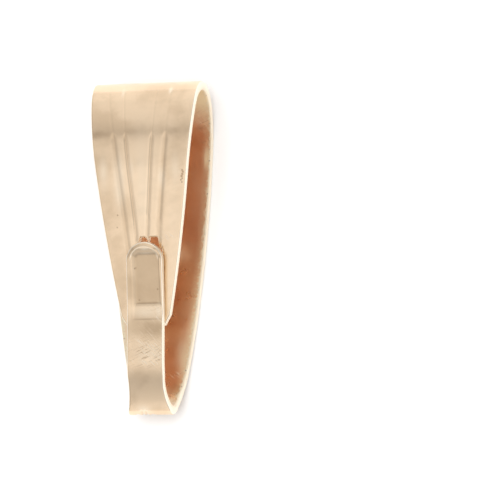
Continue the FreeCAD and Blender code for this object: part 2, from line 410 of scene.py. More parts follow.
def strip_rows(course, radius):
    """Lengths of the rows, with rows on the window's edges and close rows at the strip's ends."""
    rows = list(course.rows)
    low = course.length_at(WINDOW[2], 0, course.fold)
    high = course.length_at(WINDOW[3], 0, course.fold)
    rows = [r for r in rows if min(abs(r - low), abs(r - high)) > CLEAR_OF_WINDOW]
    for offset in EDGE_OFFSETS:
        rows += [low - offset * radius, high + offset * radius]
    rows = [r for r in rows if r > radius * CLEAR_OF_END]
    rows += [offset * radius for offset in EDGE_OFFSETS]
    centre, tip_radius = tip_circle()
    tip_foot = course.length_at(TONGUE_SIDES[-1][0], course.bend, course.whole)
    tip_end = course.length_at(TONGUE_TIP[0], course.bend, course.whole)
    rows = [r for r in rows if r < tip_foot - CLEAR_OF_ROWS]
    angle_foot = math.acos(min(1, (TONGUE_SIDES[-1][0] - centre[1]) / tip_radius))
    per_up = (tip_end - tip_foot) / (TONGUE_TIP[0] - TONGUE_SIDES[-1][0])
    ramp = [course.length_at(up, course.bend, course.whole) for up in RAMP_ROWS]
    rows = [r for r in rows if not ramp[0] - CLEAR_OF_ROWS < r < ramp[-1] + CLEAR_OF_ROWS] + ramp
    for share in np.linspace(1, TIP_LAST_SHARE, TIP_ROWS):
        up = centre[1] + tip_radius * math.cos(angle_foot * share)
        rows.append(tip_end - (TONGUE_TIP[0] - up) * per_up)
    return np.array(sorted(rows)), low, high


def spread(knots_left, knots_right, count):
    """Columns strictly between two lines, evenly spaced."""
    shares = np.arange(1, count + 1) / (count + 1)
    return knots_left[:, None] * (1 - shares) + knots_right[:, None] * shares


def outer_columns(left, right, lines, radius):
    """Columns that stay beside the grooves, with close columns at the edges."""
    half = (right - left) / 2
    reach = np.minimum(radius, 0.5 * half / EDGE_OFFSETS[-1])
    first, last = left + reach * EDGE_OFFSETS[-1], right - reach * EDGE_OFFSETS[-1]
    span = last - first
    centres = []
    for k, line in enumerate(lines):
        share = (k + 1) / (len(lines) + 1)
        even = first + span * share
        least, most = GROOVE_ROOM[0] + GROOVE_ROOM[2] * k, GROOVE_ROOM[1] - GROOVE_ROOM[2] * (3 - k)
        free = np.clip((line - first) / np.maximum(span, 1e-6), least, most)
        wide = smooth((span - NARROW[0]) / NARROW[1])
        centres.append(even * (1 - wide) + (first + span * free) * wide)
    gaps = [centres[0] - first] + [b - a for a, b in zip(centres, centres[1:])] + [last - centres[-1]]
    parts = [left[:, None] + reach[:, None] * np.array(EDGE_OFFSETS)[None]]
    previous = first
    for k, centre in enumerate(centres):
        size = np.minimum(GROOVES[k][0], CLUSTER_SHARE * np.minimum(gaps[k], gaps[k + 1]))
        cluster = centre[:, None] + size[:, None] * np.array(GROOVE_OFFSETS)[None]
        parts += [spread(previous, cluster[:, 0], BETWEEN_GROOVES[k]), cluster]
        previous = cluster[:, -1]
    parts += [spread(previous, last, BETWEEN_GROOVES[-1])]
    parts += [right[:, None] - reach[:, None] * np.array(EDGE_OFFSETS[::-1])[None]]
    return np.concatenate(parts, axis=1)


def window_columns(left, right, radius, total):
    """Columns that line up with the window's sides; returns them and the two sides' indices."""
    edge = len(EDGE_OFFSETS)
    rest = total - 4 * edge - WINDOW_COLUMNS + 1
    beside = rest // 2
    lip = np.array(EDGE_OFFSETS) * radius
    room = WINDOW_ROOM * lip[-1]
    hole_left, hole_right = np.maximum(WINDOW[0], left + room), np.minimum(WINDOW[1], right - room)
    parts = [
        left[:, None] + lip[None],
        spread(left + lip[-1], hole_left - lip[-1], beside),
        hole_left[:, None] - lip[::-1][None],
        spread(hole_left, hole_right, WINDOW_COLUMNS - 1),
        hole_right[:, None] + lip[None],
        spread(hole_right + lip[-1], right - lip[-1], rest - beside),
        right[:, None] - lip[::-1][None],
    ]
    first = 2 * edge + beside - 1
    return np.concatenate(parts, axis=1), first, first + WINDOW_COLUMNS


def inner_columns(left, right, radius, count):
    """Evenly spaced columns with close columns at the edges."""
    reach = np.minimum(radius, 0.25 * (right - left) / EDGE_OFFSETS[-1])
    lip = np.array(EDGE_OFFSETS)[None] * reach[:, None]
    middle = spread(left + lip[:, -1], right - lip[:, -1], count - 2 * len(EDGE_OFFSETS))
    return np.concatenate([left[:, None] + lip, middle, right[:, None] - lip[:, ::-1]], axis=1)


def edge_depth(distance, radius):
    """How far a rounded edge drops at this distance from it."""
    inside = np.clip(radius - distance, 0, radius)
    return radius - np.sqrt(radius**2 - inside**2)


def soft_patch(side, across, up, half, tall, strength):
    """An oval patch on one side of the strip, strongest in its middle."""
    away = ((side["x"] - across) / half) ** 2 + ((side["up"] - up) / tall) ** 2
    return strength * np.exp(-PATCH_FALL * away)


def both_sides(outer, inner):
    """Values round the strip: the outer side from left to right, then the inner one back."""
    return np.concatenate([outer, inner[:, ::-1]], axis=1)


class Blank:
    """The strip before it is bent: X across, Y along the course, Z 0 on the outer surface."""

    def __init__(self, course, sheet, radius, recess_depth, bump_height):
        self.course, self.radius = course, radius
        rows, low, high = strip_rows(course, radius)
        left, right = outline(course, rows)
        lines = groove_lines(course, rows)
        grooved = outer_columns(left, right, lines, radius)
        windowed, first, last = window_columns(left, right, radius, grooved.shape[1])
        near = smooth((high + WINDOW_EASE[0] - rows) / WINDOW_EASE[1])[:, None]
        outer = grooved * (1 - near) + windowed * near
        inner = inner_columns(left, right, radius, INNER_COLUMNS)
        inside_windowed, inner_first, inner_last = window_columns(left, right, radius, INNER_COLUMNS)
        inner = inner * (1 - near) + inside_windowed * near
        self.hole_rows = (int(np.argmin(abs(rows - low))), int(np.argmin(abs(rows - high))))
        self.hole = (first, last)
        self.inner_hole = (inner_first, inner_last)
        self.rows, self.left, self.right, self.lines = rows, left, right, lines
        self.outer = self.side(outer, RECESS_MOUTH, RECESS_FLOOR, NECK_ABOVE_OUTER)
        self.inner = self.side(inner, BUMP_FOOT, BUMP_TOP, NECK_ABOVE_INNER)
        self.outer_depth = self.outer["block"] * recess_depth + self.outer["edge"]
        self.inner_depth = sheet + self.inner["block"] * bump_height - self.inner["edge"]

    def side(self, columns, foot, top, neck_above):
        """Place, edge rounding and stamped share of each vertex: of the recess, or of the bump."""
        course, radius = self.course, self.radius
        lengths = np.repeat(self.rows[:, None], columns.shape[1], axis=1)
        on_flap, on_tongue = lengths < course.fold, lengths > course.bend
        low, high = (course.length_at(up, 0, course.fold) for up in WINDOW[2:])
        outside_window = np.maximum(np.maximum(WINDOW[0] - columns, columns - WINDOW[1]), 0)
        fade = 1 - np.maximum((lengths - high) / neck_above, (high - lengths) / NECK_BELOW)
        shifted = lengths - self.neck_drop(columns, outside_window) * np.clip(fade, 0, 1) * on_flap
        ups = course.up(shifted)
        distance = np.minimum(columns - self.left[:, None], self.right[:, None] - columns)
        centre, tip_radius = tip_circle()
        from_tip = tip_radius - np.hypot(columns - centre[0], ups - centre[1])
        at_tip = on_tongue & (ups > centre[1])
        distance = np.where(at_tip, np.minimum(distance, from_tip), distance)
        distance = np.minimum(distance, lengths)
        past_ends = np.maximum(np.maximum(low - lengths, lengths - high), 0)
        from_window = np.where(on_flap, np.hypot(outside_window, past_ends), FAR)
        distance = np.minimum(distance, from_window)
        reach = np.minimum(radius, 0.5 * (self.right - self.left))[:, None]
        edge = edge_depth(np.maximum(distance, 0), np.maximum(reach, 1e-4))
        block = smooth(block_share(columns, ups, foot, top))
        if foot is RECESS_MOUTH:
            block = np.minimum(block, np.interp(ups, *zip(*RECESS_RAMP)))
            edge = np.maximum(edge, self.tip_roll(columns, ups, from_tip) * on_tongue)
        block = block * on_tongue
        return {"x": columns, "y": shifted, "edge": edge, "block": block, "up": ups, "from_edge": distance}

    def neck_drop(self, columns, outside_window):
        """How far the window's upper edge comes down beside its neck and at its tooth."""
        neck_left, neck_right, neck_length, neck_slope = WINDOW_NECK
        outside_neck = np.maximum(neck_left - columns, columns - neck_right)
        drop = neck_length * smooth(outside_neck / neck_slope) * np.exp(-outside_window / NECK_BESIDE)
        return drop + TOOTH[2] * np.exp(-(((columns - TOOTH[0]) / TOOTH[1]) ** 2))

    def tip_roll(self, columns, ups, from_tip):
        """How far the tongue's tip is rolled down near its edge."""
        width, slope = TIP_ROLL
        left_share, left_place, left_run = TIP_ROLL_LEFT
        rolled = np.clip(width - from_tip, 0, width) * slope
        rolled = rolled * smooth((ups - TIP_ROLL_START[0]) / TIP_ROLL_START[1])
        return rolled * (left_share + (1 - left_share) * smooth((columns - left_place) / left_run))

    def groove_distances(self):
        """Distance from each groove in groove widths, growing past the groove's ends."""
        course, rows = self.course, self.rows
        start = course.length_at(FLAP_UPS[0], 0, course.fold)
        loss, fold_up, fold_run, panel_from, panel_run = FOLD_LOSS
        before_fold = smooth((rows - course.length_at(fold_up, 0, course.fold)) / fold_run)
        after_fold = smooth(panel_from - (rows - course.fold) / panel_run)
        over_fold = loss * np.where(rows < course.fold, before_fold, after_fold)
        found = []
        for (width, _, _), line, tail in zip(GROOVES, self.lines, TAIL_LENGTH):
            past = np.maximum(start - rows, rows - course.bend - tail) / GROOVE_END_RUN
            distance = abs(self.outer["x"] - line[:, None]) / width
            found.append(distance + (np.maximum(past, 0) + over_fold)[:, None])
        return found

    def patches(self, table):
        """Soft oval patches on the outer side, 0 to 1."""
        found = np.zeros_like(self.outer["x"])
        started = smooth((self.outer["up"] - TIP_PAINTED_LIGHT_START[0]) / TIP_PAINTED_LIGHT_START[1])
        on_tip = (self.rows > self.course.bend)[:, None] * started
        from_edge = self.outer["from_edge"]
        if table is SHADES:
            # Painted shade: a darker band just inside the tip's rolled edge
            found = TIP_SHADE[0] * smooth((TIP_ROLL[0] - from_edge) / TIP_SHADE[1]) * on_tip
        if table is PAINTED_HIGHLIGHTS:
            # Painted highlight: a bright line along the inner border of the tip's rolled edge
            found = TIP_LINE[2] * np.exp(-(((from_edge - TIP_LINE[0]) / TIP_LINE[1]) ** 2)) * on_tip
        for side, *patch in table:
            on_side = (self.rows < self.course.fold) if side == 1 else (self.rows > self.course.bend)
            found = np.maximum(found, soft_patch(self.outer, *patch) * on_side[:, None])
        return found

    def inner_patches(self, table):
        """Soft oval patches on the inside of the panel, 0 to 1."""
        found = np.zeros_like(self.inner["x"])
        on_panel = ((self.rows > self.course.fold) & (self.rows < self.course.bend))[:, None]
        for patch in table:
            found = np.maximum(found, soft_patch(self.inner, *patch) * on_panel)
        return found

    def cap(self, index, row):
        """Triangles across the strip's end, between its outer and its inner columns."""
        outer_x, inner_x = self.outer["x"][row], self.inner["x"][row]
        outer, inner = index[row][:len(outer_x)], index[row][:len(outer_x) - 1:-1]
        faces = []
        i = j = 0
        while i < len(outer) - 1 or j < len(inner) - 1:
            if j == len(inner) - 1 or (i < len(outer) - 1 and outer_x[i + 1] <= inner_x[j + 1]):
                faces.append((outer[i], outer[i + 1], inner[j]))
                i += 1
            else:
                faces.append((outer[i], inner[j + 1], inner[j]))
                j += 1
        return faces

    def faces(self, index, ring):
        """The strip's skin round its four sides, the window's sides and the two ends."""
        faces = []
        hole_low, hole_high = self.hole_rows
        first, last = self.hole
        inner_first, inner_last = (ring - 1 - column for column in reversed(self.inner_hole))
        for j in range(len(index) - 1):
            in_rows = hole_low <= j < hole_high
            for i in range(ring):
                if in_rows and (first <= i < last or inner_first <= i < inner_last):
                    continue
                k = (i + 1) % ring
                faces.append((index[j][i], index[j][k], index[j + 1][k], index[j + 1][i]))
        around = [(hole_low, first + k) for k in range(last - first)]
        around += [(j, last) for j in range(hole_low, hole_high)]
        around += [(hole_high, last - k) for k in range(last - first)]
        around += [(j, first) for j in range(hole_high, hole_low, -1)]
        opposite = {first + k: inner_last - k for k in range(last - first + 1)}
        for (j, i), (l, m) in zip(around, around[1:] + around[:1]):
            faces.append((index[j][i], index[l][m], index[l][opposite[m]], index[j][opposite[i]]))
        return faces + [face[::-1] for face in self.cap(index, 0)] + self.cap(index, -1)

    def mesh(self, name):
        """The blank as a mesh, with the masks of its material and the grooves' distances."""
        depths = ((self.outer, self.outer_depth), (self.inner, self.inner_depth))
        places = both_sides(*(np.stack([side["x"], side["y"], -depth], axis=2) for side, depth in depths))
        rows, ring = places.shape[:2]
        index = np.arange(rows * ring).reshape(rows, ring).tolist()
        data = bpy.data.meshes.new(name)
        faces = self.faces(index, ring)
        data.from_pydata((places.reshape(-1, 3) * MM).tolist(), [], faces)
        outer_zero, inner_zero = np.zeros_like(self.outer["x"]), np.zeros_like(self.inner["x"])
        for k, distance in enumerate(self.groove_distances()):
            store(data, f"groove_{k + 1}", both_sides(distance, inner_zero + FAR))
        from_bend = np.maximum(abs(self.rows - self.course.bend) - BEND_LIGHT, 0)
        inner_from_edge = np.minimum(self.inner["from_edge"], from_bend[:, None])
        store(data, "inside", both_sides(outer_zero, inner_zero + 1))
        store(data, "from_edge", both_sides(self.outer["from_edge"], inner_from_edge))
        store(data, "recess", both_sides(self.outer["block"], inner_zero))
        # Painted shade, painted light and scuffs, on the outer side and inside the loop
        for label, table, inner_table in (
            ("shade", SHADES, INNER_SHADES),
            ("painted_light", PAINTED_HIGHLIGHTS, PAINTED_INNER_LIGHTS),
            ("scuff", SCUFFS, INNER_SCUFFS),
        ):
            store(data, label, both_sides(self.patches(table), self.inner_patches(inner_table)))
        if data.validate(verbose=False):
            raise RuntimeError("the blank had faulty faces")
        return data


def store(data, name, values):
    attribute = data.attributes.new(name, "FLOAT", "POINT")
    attribute.data.foreach_set("value", np.ascontiguousarray(values, dtype=np.float32).ravel())


def course_shift(course):
    """From the course's own place to its place in the CAD box, along Y and Z in mm."""
    low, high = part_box(CAD_NODE)
    return low.y / MM - course.base, low.z / MM - course.z_low


def pit_places(course):
    """Centre in metres and radius in mm of each pit."""
    y_shift, z_shift = course_shift(course)
    places = []
    for across, up, side, size in PITS:
        start, stop = (0, course.fold) if side == 1 else (course.bend, course.whole)
        length = course.length_at(up, start, stop)
        y = np.interp(length, course.table[:, 0], course.table[:, 1]) + y_shift
        z = np.interp(length, course.table[:, 0], course.table[:, 2]) + z_shift
        places.append(((across * MM, float(y) * MM, float(z) * MM), size))
    return places


def course_object(course):
    """A poly curve along the outer surface, placed in the CAD box."""
    y_shift, z_shift = course_shift(course)
    curve = bpy.data.curves.new("bail_course", "CURVE")
    curve.dimensions = "3D"
    spline = curve.splines.new("POLY")
    spline.points.add(len(course.table) - 1)
    flat = np.zeros((len(course.table), 4), np.float32)
    flat[:, 1] = (course.table[:, 1] + y_shift) * MM
    flat[:, 2] = (course.table[:, 2] + z_shift) * MM
    flat[:, 3] = 1
    spline.points.foreach_set("co", flat.ravel())
    made = bpy.data.objects.new("bail_course", curve)
    bpy.context.scene.collection.objects.link(made)
    return made


def add_node(tree, kind, inputs=None, **values):
    """Make a node, set its values, and link or set its inputs, given by name or index."""
    node = tree.nodes.new(kind)
    for name, value in values.items():
        setattr(node, name, value)
    for name, source in (inputs or {}).items():
        if isinstance(source, bpy.types.NodeSocket):
            tree.links.new(source, node.inputs[name])
        else:
            node.inputs[name].default_value = source
    return node


def math_node(tree, operation, *inputs, clamp=False):
    node = add_node(tree, "ShaderNodeMath", dict(enumerate(inputs)), operation=operation, use_clamp=clamp)
    return node.outputs[0]


def vector_node(tree, operation, *inputs):
    return add_node(tree, "ShaderNodeVectorMath", dict(enumerate(inputs)), operation=operation).outputs[0]


def level(tree, value, low, high, kind="SMOOTHSTEP"):
    """0 where the value is at its low limit, 1 where it is at its high one."""
    inputs = {"Value": value, "From Min": low, "From Max": high}
    return add_node(tree, "ShaderNodeMapRange", inputs, interpolation_type=kind).outputs[0]


def make_tree(name, kind, inputs, outputs):
    """A node tree with these sockets; returns it and the sockets of its input node."""
    tree = bpy.data.node_groups.new(name, kind)
    for label, socket_kind, *value in inputs:
        socket = tree.interface.new_socket(label, in_out="INPUT", socket_type=socket_kind)
        if value:
            socket.default_value = value[0]
    for label, socket_kind in outputs:
        tree.interface.new_socket(label, in_out="OUTPUT", socket_type=socket_kind)
    return tree, add_node(tree, "NodeGroupInput").outputs


def form_tree():
    """Geometry Nodes that stamp the grooves into the blank and bend it along the course."""
    tree, given = make_tree(
        "bail_form", "GeometryNodeTree",
        (("Geometry", "NodeSocketGeometry"), ("Course", "NodeSocketObject"),
         ("Groove Depth", "NodeSocketFloat"), ("Groove Reach", "NodeSocketFloat"),
         ("Material", "NodeSocketMaterial")),
        (("Geometry", "NodeSocketGeometry"),),
    )
    nearest = None
    for k in range(len(GROOVES)):
        read = {"Name": f"groove_{k + 1}"}
        read = add_node(tree, "GeometryNodeInputNamedAttribute", read, data_type="FLOAT").outputs["Attribute"]
        nearest = read if nearest is None else math_node(tree, "MINIMUM", nearest, read)
    mask = level(tree, nearest, given["Groove Reach"], 0.0)
    keep = {"Name": "groove", "Geometry": given["Geometry"], "Value": mask}
    kept = add_node(tree, "GeometryNodeStoreNamedAttribute", keep, data_type="FLOAT", domain="POINT")
    here = add_node(tree, "GeometryNodeInputPosition").outputs[0]
    place = add_node(tree, "ShaderNodeSeparateXYZ", {0: here}).outputs
    course = add_node(tree, "GeometryNodeObjectInfo", {"Object": given["Course"]}).outputs["Geometry"]
    sample = {"Curves": course, "Length": place["Y"]}
    sample = add_node(tree, "GeometryNodeSampleCurve", sample, mode="LENGTH").outputs
    across = add_node(tree, "ShaderNodeCombineXYZ", {"X": place["X"]}).outputs[0]
    outward = vector_node(tree, "NORMALIZE", vector_node(tree, "CROSS_PRODUCT", (1, 0, 0), sample["Tangent"]))
    depth = math_node(tree, "MULTIPLY", mask, given["Groove Depth"])
    raise_by = {0: outward, "Scale": math_node(tree, "SUBTRACT", place["Z"], depth)}
    raised = add_node(tree, "ShaderNodeVectorMath", raise_by, operation="SCALE").outputs[0]
    bent = vector_node(tree, "ADD", vector_node(tree, "ADD", sample["Position"], across), raised)
    moved = {"Geometry": kept.outputs["Geometry"], "Position": bent}
    moved = add_node(tree, "GeometryNodeSetPosition", moved).outputs[0]
    real = add_node(tree, "GeometryNodeRealizeInstances", {0: moved}).outputs[0]
    paint = {"Geometry": real, "Material": given["Material"]}
    painted = add_node(tree, "GeometryNodeSetMaterial", paint).outputs[0]
    add_node(tree, "NodeGroupOutput", {"Geometry": painted})
    return tree


def formed(blank_data, course, settings, material):
    """Runs the tree on the blank and returns the plain mesh."""
    blank = bpy.data.objects.new("bail_blank", blank_data)
    bpy.context.scene.collection.objects.link(blank)
    tree = form_tree()
    modifier = blank.modifiers.new("form", "NODES")
    modifier.node_group = tree
    values = {
        "Course": course,
        "Groove Depth": settings.groove_depth * MM,
        "Groove Reach": settings.groove_reach,
        "Material": material,
    }
    for item in tree.interface.items_tree:
        if item.in_out == "INPUT" and item.name in values:
            modifier[item.identifier] = values[item.name]
    bpy.context.view_layer.update()
    graph = bpy.context.evaluated_depsgraph_get()
    data = bpy.data.meshes.new_from_object(blank.evaluated_get(graph))
    blank.modifiers.remove(modifier)
    bpy.data.objects.remove(blank)
    return data


def scratch_group():
    """Thin straight scratches at an angle: long cells of stretched noise, cut to their peaks."""
    tree, given = make_tree(
        "fine_scratches", "ShaderNodeTree",
        (("Vector", "NodeSocketVector"), ("Angle", "NodeSocketFloat", 0.5),
         ("Density", "NodeSocketFloat", 1.0), ("Amount", "NodeSocketFloat", 0.5)),
        (("Mask", "NodeSocketFloat"),),
    )
    turn = {"Vector": given["Vector"], "Angle": given["Angle"]}
    turned = add_node(tree, "ShaderNodeVectorRotate", turn, rotation_type="Z_AXIS").outputs[0]
    stretched = vector_node(tree, "MULTIPLY", turned, SCRATCH_STRETCH)
    noise = {"Vector": stretched, "Scale": given["Density"], "Detail": 2.0}
    noise = add_node(tree, "ShaderNodeTexNoise", noise, noise_dimensions="3D").outputs[0]
    peaks = level(tree, noise, *SCRATCH_PEAKS, kind="LINEAR")
    add_node(tree, "NodeGroupOutput", {"Mask": math_node(tree, "MULTIPLY", peaks, given["Amount"])})
    return tree


def patch_group():
    """Soft uneven patches, 0 to 1."""
    tree, given = make_tree(
        "soft_patches", "ShaderNodeTree",
        (("Vector", "NodeSocketVector"), ("Scale", "NodeSocketFloat", 400.0),
         ("Low", "NodeSocketFloat", 0.4), ("High", "NodeSocketFloat", 0.7)),
        (("Mask", "NodeSocketFloat"),),
    )
    noise = {"Vector": given["Vector"], "Scale": given["Scale"], "Detail": 4.0}
    noise = add_node(tree, "ShaderNodeTexNoise", noise, noise_dimensions="3D").outputs[0]
    add_node(tree, "NodeGroupOutput", {"Mask": level(tree, noise, given["Low"], given["High"])})
    return tree


def pit_group(places):
    """Small round pits of the surface, 1 at their centres."""
    sockets = (("Vector", "NodeSocketVector"),), (("Mask", "NodeSocketFloat"),)
    tree, given = make_tree("small_pits", "ShaderNodeTree", *sockets)
    flatten = Vector((1, 1, PIT_HEIGHT_SHARE))
    here = vector_node(tree, "MULTIPLY", given["Vector"], flatten)
    found = None
    for centre, size in places:
        ends = {0: here, 1: Vector(centre) * flatten}
        away = add_node(tree, "ShaderNodeVectorMath", ends, operation="DISTANCE").outputs["Value"]
        pit = level(tree, away, size * MM, 0.0)
        found = pit if found is None else math_node(tree, "MAXIMUM", found, pit)
    add_node(tree, "NodeGroupOutput", {"Mask": found})
    return tree


def metal(settings, pits):
    """Polished rose gold tone: fine scratches, soft cloudy polish, painted shade in the grooves and creases,
    painted highlights and reflections, and a coppery inside with painted inter-reflection and painted light
    near its edges.
    """
    material = bpy.data.materials.new("bail_metal")
    material.use_nodes = True
    tree = material.node_tree
    where = add_node(tree, "ShaderNodeTexCoord").outputs["Object"]

    def place(group, **inputs):
        return add_node(tree, "ShaderNodeGroup", {"Vector": where, **inputs}, node_tree=group).outputs[0]

    def product(first, second):
        return math_node(tree, "MULTIPLY", first, second)

    def scaled(source, gain, base, clamp=False):
        return math_node(tree, "MULTIPLY_ADD", source, gain, base, clamp=clamp)

    def mixed(factor, first, second):
        colours = [c if isinstance(c, bpy.types.NodeSocket) else (*c, 1.0) for c in (first, second)]
        inputs = {"Factor": factor, 6: colours[0], 7: colours[1]}
        return add_node(tree, "ShaderNodeMix", inputs, data_type="RGBA").outputs[2]

    inside, from_edge, groove, recess, dark, painted_light, scuff = (
        add_node(tree, "ShaderNodeAttribute", attribute_name=name).outputs["Fac"]
        for name in ("inside", "from_edge", "groove", "recess", "shade", "painted_light", "scuff")
    )
    soft, thin = patch_group(), scratch_group()
    pit = place(pit_group(pits))
    amount = scaled(scuff, *SCUFF_AMOUNT)
    fine, cross = (place(thin, Angle=angle, Density=density, Amount=amount) for angle, density in SCRATCH_SETS)
    both = math_node(tree, "MAXIMUM", fine, cross)
    flecks, cloudy, grain, rags = (
        place(soft, Scale=scale, Low=low, High=high) for scale, low, high in (FLECKS, CLOUDS, GRAIN, RAGS)
    )

    ragged = scaled(cloudy, *PATCH_RAGS)
    # Painted shade and darker reflections of the shade patches, with their ragged borders, and the darker
    # floor of the recess
    floor = level(tree, recess, RECESS_SHADE_START, 1.0)
    shade = scaled(floor, RECESS_SHADE, product(dark, ragged), clamp=True)
    outer = mixed(cloudy, settings.outer_colour, settings.patch_colour)
    outer = mixed(shade, outer, settings.shade_colour)
    # Painted highlights and reflections
    outer = mixed(product(painted_light, ragged), outer, settings.highlight_and_scratch_colour)

    # Painted light inside the loop: paler near the edges, where light comes in, and golden beside that rim;
    # the crease inside the bend takes the same colours
    near_rim = math_node(tree, "ADD", scaled(from_edge, *RIM_REACH), scaled(rags, *RIM_RAGS), clamp=True)
    golden_light = product(scaled(from_edge, *GOLDEN_LIGHT_REACH, clamp=True), scaled(rags, *GOLDEN_LIGHT_RAGS))
    # Deeper copper inside: painted inter-reflection of the loop
    inner = mixed(cloudy, settings.inner_colour, settings.inner_patch_colour)
    # Painted light inside the loop
    inner = mixed(painted_light, inner, settings.painted_inner_light_colour)
    # Painted shade inside the loop where it is seen through the window, and a darker line under the fold
    inner = mixed(dark, inner, settings.shade_and_speck_colour)
    inner = mixed(golden_light, inner, settings.painted_inner_light_colour)
    inner = mixed(near_rim, inner, settings.rim_light_and_crease_colour)
    inner = mixed(product(flecks, product(near_rim, RIM_FLECKS)), inner, settings.shade_and_speck_colour)

    colour = mixed(inside, outer, inner)
    colour = mixed(product(cross, CROSS_STRENGTH), colour, settings.scratch_colour)
    colour = mixed(product(fine, FINE_STRENGTH), colour, settings.highlight_and_scratch_colour)
    # Painted shade in the grooves, and the darker pits
    sunk = math_node(tree, "MAXIMUM", product(groove, settings.groove_shade), product(pit, PIT_STRENGTH))
    colour = mixed(sunk, colour, settings.shade_and_speck_colour)
    rim = level(tree, from_edge, EDGE_BAND, 0.0)
    colour = mixed(rim, colour, settings.edge_colour)

    rough = settings.roughness
    inside_light = product(inside, math_node(tree, "MAXIMUM", near_rim, painted_light))
    for mask, gain in (
        (both, ROUGH_SCRATCHES), (grain, ROUGH_GRAIN), (rim, ROUGH_EDGE),
        (inside, ROUGH_INSIDE), (inside_light, ROUGH_INSIDE_LIGHT),
    ):
        rough = scaled(mask, gain, rough)
    relief = scaled(pit, RELIEF_PITS, scaled(grain, RELIEF_GRAIN, product(both, RELIEF_SCRATCHES)))
    relief = product(relief, scaled(inside, RELIEF_INSIDE, 1.0))
    bump = {"Strength": settings.relief, "Distance": RELIEF_DISTANCE, "Height": relief}
    bump = add_node(tree, "ShaderNodeBump", bump).outputs[0]
    shader = tree.nodes["Principled BSDF"]
    shader.inputs["Metallic"].default_value = 1.0
    for name, source in (("Base Color", colour), ("Roughness", rough), ("Normal", bump)):
        tree.links.new(source, shader.inputs[name])
    return material


def number(name, description, default, **more):
    return FloatProperty(name=name, description=description, default=default, **more)


def tint(name, description, default):
    return FloatVectorProperty(name=name, description=description, default=default, subtype="COLOR", size=3)


class BailStripSettings(bpy.types.PropertyGroup):
    """Sizes of the strip"""

    sheet: number("Sheet", "Thickness of the strip, in mm", 0.42)
    flap_rise: number("Flap rise", "Slope of the flap, in degrees", 8.8)
    edge_radius: number("Edge radius", "Rounding of the cut edges, in mm", 0.07)
    recess_depth: number("Recess depth", "Depth of the tongue's recess, in mm", 0.08)
    bump_height: number("Bump height", "Height of the bump behind the recess, in mm", 0.24)
    groove_depth: number("Groove depth", "Depth of the grooves, in mm", 0.042)
    groove_reach: number("Groove reach", "Half width of a groove, in groove widths", 0.85)
    smooth_below: number(
        "Smooth below", "Edges flatter than this are shaded smooth",
        math.radians(34), unit="ROTATION",
    )


class BailMetalSettings(bpy.types.PropertyGroup):
    """Colours and finish of the metal, with the colours of its painted light and shade"""

    outer_colour: tint("Outer colour", "Colour of the polished outside", (0.95, 0.73, 0.51))
    patch_colour: tint("Patch colour", "Colour of the cloudy patches", (0.83, 0.625, 0.425))
    # The two deeper copper tones below paint the coppery inter-reflection inside the loop, in uneven patches
    inner_colour: tint("Inner colour", "Colour of the inside of the loop", (0.91, 0.60, 0.395))
    inner_patch_colour: tint(
        "Inner patch colour", "Colour of the patches inside the loop", (0.83, 0.51, 0.315),
    )
    # Colour of the painted pale light inside the loop near its edges, also given to the crease inside the bend
    rim_light_and_crease_colour: tint("Inner rim colour", "Colour inside the loop beside the edges", (1.0, 0.90, 0.70))
    # Colour of the painted light inside the loop, and of the painted golden light beside its rim
    painted_inner_light_colour: tint(
        "Inner light colour", "Colour of lighter places inside the loop", (1.0, 0.88, 0.62),
    )
    # Colour of the painted shade and darker reflections, and of the darker floor of the recess
    shade_colour: tint("Shade colour", "Colour of the darker patches", (0.52, 0.375, 0.235))
    edge_colour: tint("Edge colour", "Colour of the cut edges", (1.0, 0.90, 0.75))
    # Colour of the painted shade in the grooves and inside the loop, and of the dark pits and flecks
    shade_and_speck_colour: tint("Groove colour", "Colour at the bottom of the grooves", (0.42, 0.27, 0.15))
    scratch_colour: tint("Scratch colour", "Colour of the scratches", (0.62, 0.44, 0.28))
    # Colour of the painted highlights and reflections, and of the light fine scratches
    highlight_and_scratch_colour: tint("Gleam colour", "Colour of the brighter places", (1.0, 0.84, 0.645))
    # Strength of the painted shade in the grooves
    groove_shade: number("Groove shade", "How far the grooves darken", 0.26)
    roughness: number("Roughness", "Roughness of the polish", 0.17)
    relief: number("Relief", "Strength of the fine relief", 0.35)


class BailStageSettings(bpy.types.PropertyGroup):
    """Place of the camera and strength of the floor's light"""

    yaw: number("Yaw", "Turn of the view towards +X", math.radians(15.74), subtype="ANGLE")
    pitch: number("Pitch", "Tilt of the view towards the bend", math.radians(7.0), subtype="ANGLE")
    roll: number("Roll", "Turn of the image", math.radians(-0.45), subtype="ANGLE")
    distance: number("Distance", "From the camera to the middle of the bail", 0.1653, unit="LENGTH")
    scale: number("Scale", "Pixels for each mm at the middle of the bail", 21.96)
    image_x: number("Image X", "Pixel column of the middle of the bail", 150.32)
    image_y: number("Image Y", "Pixel row of the middle of the bail", 247.85)
    middle_z: number("Middle height", "Height of the middle of the bail", 0.00185, unit="LENGTH")
    floor_fill: number("Floor fill", "Light that only the floor shows, in watts", 2.3)


